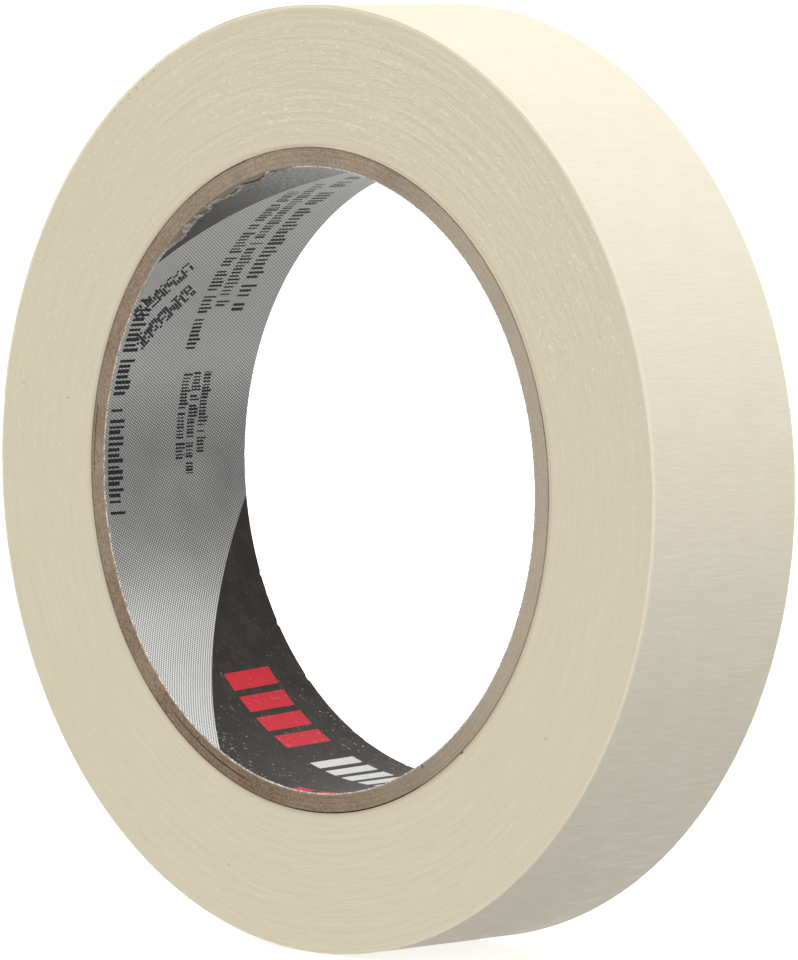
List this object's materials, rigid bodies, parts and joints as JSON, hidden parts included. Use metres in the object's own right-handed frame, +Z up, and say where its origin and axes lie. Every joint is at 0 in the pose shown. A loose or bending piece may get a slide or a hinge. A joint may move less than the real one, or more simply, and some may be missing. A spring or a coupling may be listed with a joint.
{
  "type": "masking tape roll",
  "caption": "Roll of creped paper masking tape on a spirally wound board core, with a free end that peels.",
  "frame": {"origin": "middle of the core's bore, on the roll's axis, halfway across the tape's width", "axes": "+Y along the roll's axis, from the front side face to the back one; +Z up, with the roll standing on its edge; +X to the right seen from the front"},
  "size_m": [0.1154, 0.024, 0.1155],
  "materials": {
    "printed_liner": "satin",
    "core_board": "matte",
    "creped_paper": "matte",
    "adhesive": "satin"
  },
  "bodies": {
    "roll": {"core_liner": "printed_liner", "core_ply_1": "core_board", "core_ply_2": "core_board", "core_ply_3": "core_board", "core_ply_4": "core_board", "tape_first_lap": "creped_paper", "tape_wound_laps": "creped_paper", "tape_last_lap": "creped_paper"},
    "tail_1": {"tape_tail_1": "creped_paper", "tape_tail_adhesive_1": "adhesive"},
    "tail_2": {"tape_tail_2": "creped_paper", "tape_tail_adhesive_2": "adhesive"},
    "tail_3": {"tape_tail_3": "creped_paper", "tape_tail_adhesive_3": "adhesive"},
    "tail_4": {"tape_tail_4": "creped_paper", "tape_tail_adhesive_4": "adhesive"},
    "tail_5": {"tape_tail_5": "creped_paper", "tape_tail_adhesive_5": "adhesive"},
    "tail_6": {"tape_tail_6": "creped_paper", "tape_tail_adhesive_6": "adhesive"}
  },
  "joints": [
    {"name": "tape_peel", "type": "hinge", "parent": "roll", "child": "tail_1", "pos_m": [-0.01003, 0, 0.0569], "axis": [0, 1, 0], "range_deg": [0, 90]},
    {"name": "tail_uncurl_1", "type": "hinge", "parent": "tail_1", "child": "tail_2", "pos_m": [-0.02164, 0, 0.05357], "axis": [0, 1, 0], "range_deg": [0, 12.5]},
    {"name": "tail_uncurl_2", "type": "hinge", "parent": "tail_2", "child": "tail_3", "pos_m": [-0.03231, 0, 0.04791], "axis": [0, 1, 0], "range_deg": [0, 12.5]},
    {"name": "tail_uncurl_3", "type": "hinge", "parent": "tail_3", "child": "tail_4", "pos_m": [-0.04157, 0, 0.04014], "axis": [0, 1, 0], "range_deg": [0, 12.5]},
    {"name": "tail_uncurl_4", "type": "hinge", "parent": "tail_4", "child": "tail_5", "pos_m": [-0.04901, 0, 0.03063], "axis": [0, 1, 0], "range_deg": [0, 12.5]},
    {"name": "tail_uncurl_5", "type": "hinge", "parent": "tail_5", "child": "tail_6", "pos_m": [-0.05431, 0, 0.01977], "axis": [0, 1, 0], "range_deg": [0, 12.5]}
  ],
  "couplings": [
    {"joint": "tail_uncurl_1", "follows": "tape_peel", "ratio": 0.13333},
    {"joint": "tail_uncurl_2", "follows": "tape_peel", "ratio": 0.13333},
    {"joint": "tail_uncurl_3", "follows": "tape_peel", "ratio": 0.13333},
    {"joint": "tail_uncurl_4", "follows": "tape_peel", "ratio": 0.13333},
    {"joint": "tail_uncurl_5", "follows": "tape_peel", "ratio": 0.13333}
  ]
}
